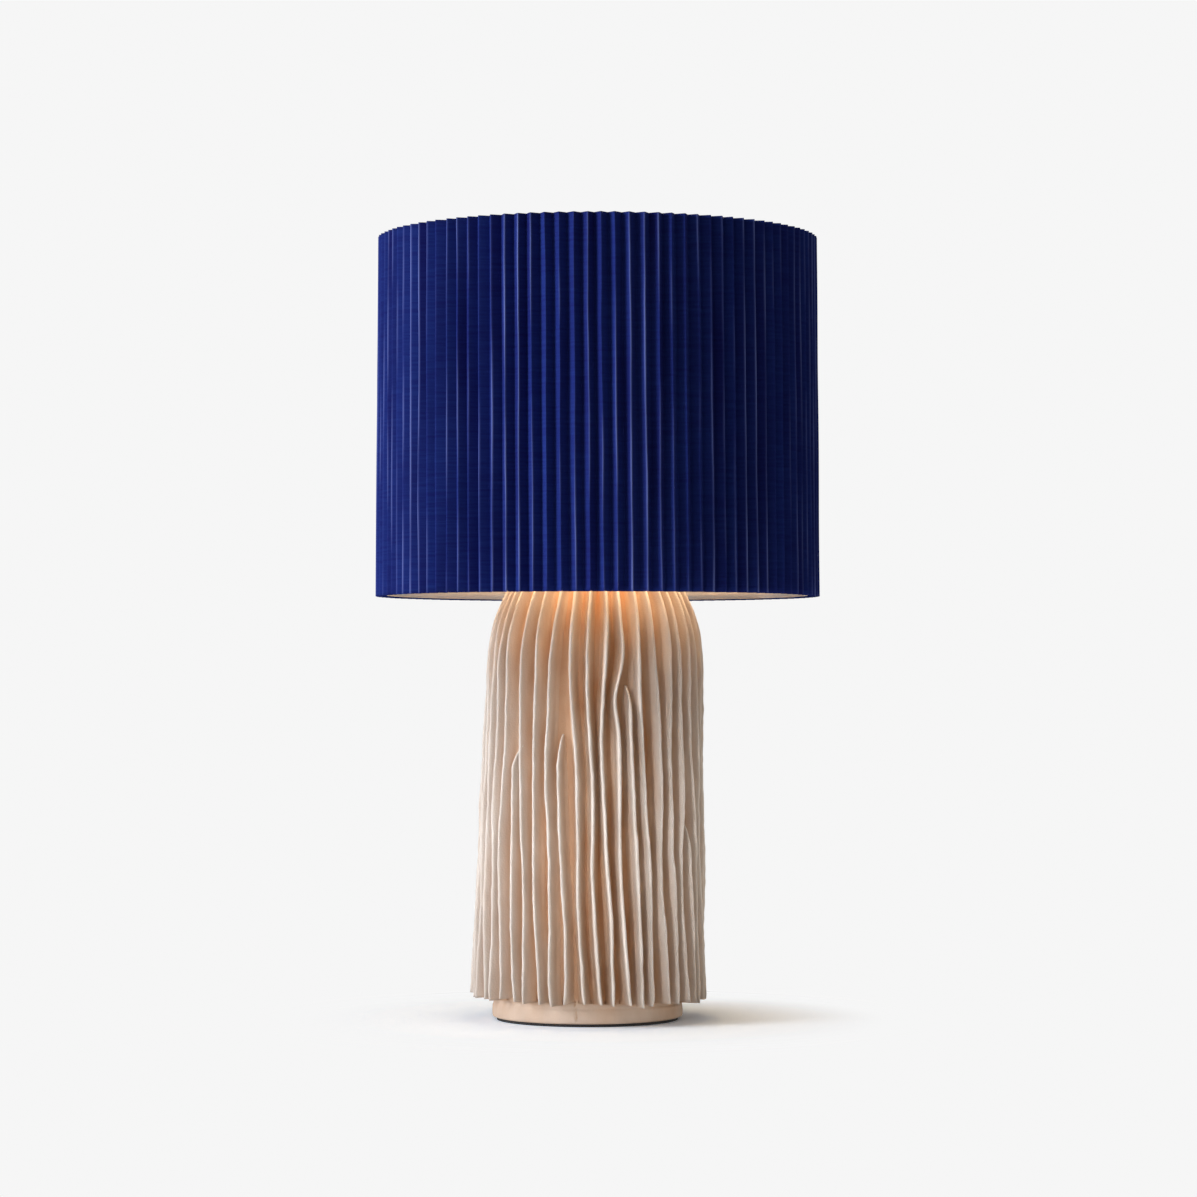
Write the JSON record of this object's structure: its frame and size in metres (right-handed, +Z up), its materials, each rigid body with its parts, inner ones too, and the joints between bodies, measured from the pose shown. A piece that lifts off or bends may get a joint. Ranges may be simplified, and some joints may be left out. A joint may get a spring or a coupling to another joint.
{
  "type": "table lamp",
  "caption": "Table lamp with a pleated drum shade on a clay base of upright fins, with a screw lampholder, height-adjusting shade rings and a removable bulb.",
  "frame": {"origin": "on the floor, on the plumb axis that the shade, tube and bulb share", "axes": "+Z up along the tube, -Y to the front, +X to the right as seen from the front"},
  "size_m": [0.3, 0.2998, 0.526],
  "materials": {
    "pleated_cloth": "matte woven cloth",
    "liner_cloth": "smooth cream laminate",
    "white_enamel": "satin",
    "raw_clay": "matte unglazed",
    "black_felt": "felt",
    "steel": "zinc plated",
    "brass": "satin",
    "black_rubber": "matte",
    "black_plastic": "moulded",
    "white_porcelain": "glazed",
    "nickel": "plated",
    "white_plastic": "satin",
    "black_glass": "gloss",
    "opal": "opal"
  },
  "bodies": {
    "base": {"foot_pad": "black_felt", "ceramic_core": "raw_clay", "clay_fins": "raw_clay", "bottom_plate": "steel", "toothed_washer": "steel", "bottom_nut": "brass", "through_tube": "brass", "cord_bush": "black_rubber", "seal_washer": "black_rubber", "vase_cap": "brass", "cap_nut": "brass", "holder_cap": "black_plastic", "grub_screw": "steel", "holder_sleeve": "black_plastic", "holder_core": "white_porcelain", "screw_shell": "brass", "centre_contact": "brass", "terminal_screws": "steel"},
    "lower_ring": {"lower_shade_ring": "black_plastic"},
    "shade": {"fitting_collar": "white_enamel", "fitting_arms": "white_enamel", "bottom_ring": "white_enamel", "top_ring": "white_enamel", "shade_liner": "liner_cloth", "pleated_cover": "pleated_cloth"},
    "upper_ring": {"upper_shade_ring": "black_plastic"},
    "bulb": {"bulb_tip": "nickel", "bulb_insulator": "black_glass", "bulb_cap": "nickel", "bulb_body": "white_plastic", "led_board": "white_plastic", "bulb_globe": "opal"}
  },
  "joints": [
    {"name": "shade_height", "type": "slide", "parent": "base", "child": "lower_ring", "axis": [0, 0, 1], "range_m": [-0.004, 0.004]},
    {"name": "shade_swivel", "type": "hinge", "parent": "lower_ring", "child": "shade", "pos_m": [0, 0, 0.37], "axis": [0, 0, 1], "continuous": true},
    {"name": "upper_ring_turn", "type": "hinge", "parent": "lower_ring", "child": "upper_ring", "pos_m": [0, 0, 0.3715], "axis": [0, 0, 1], "range_deg": [0, 90]},
    {"name": "bulb_turn", "type": "hinge", "parent": "base", "child": "bulb", "pos_m": [0, 0, 0.3595], "axis": [0, 0, 1], "range_deg": [0, 1440]}
  ]
}
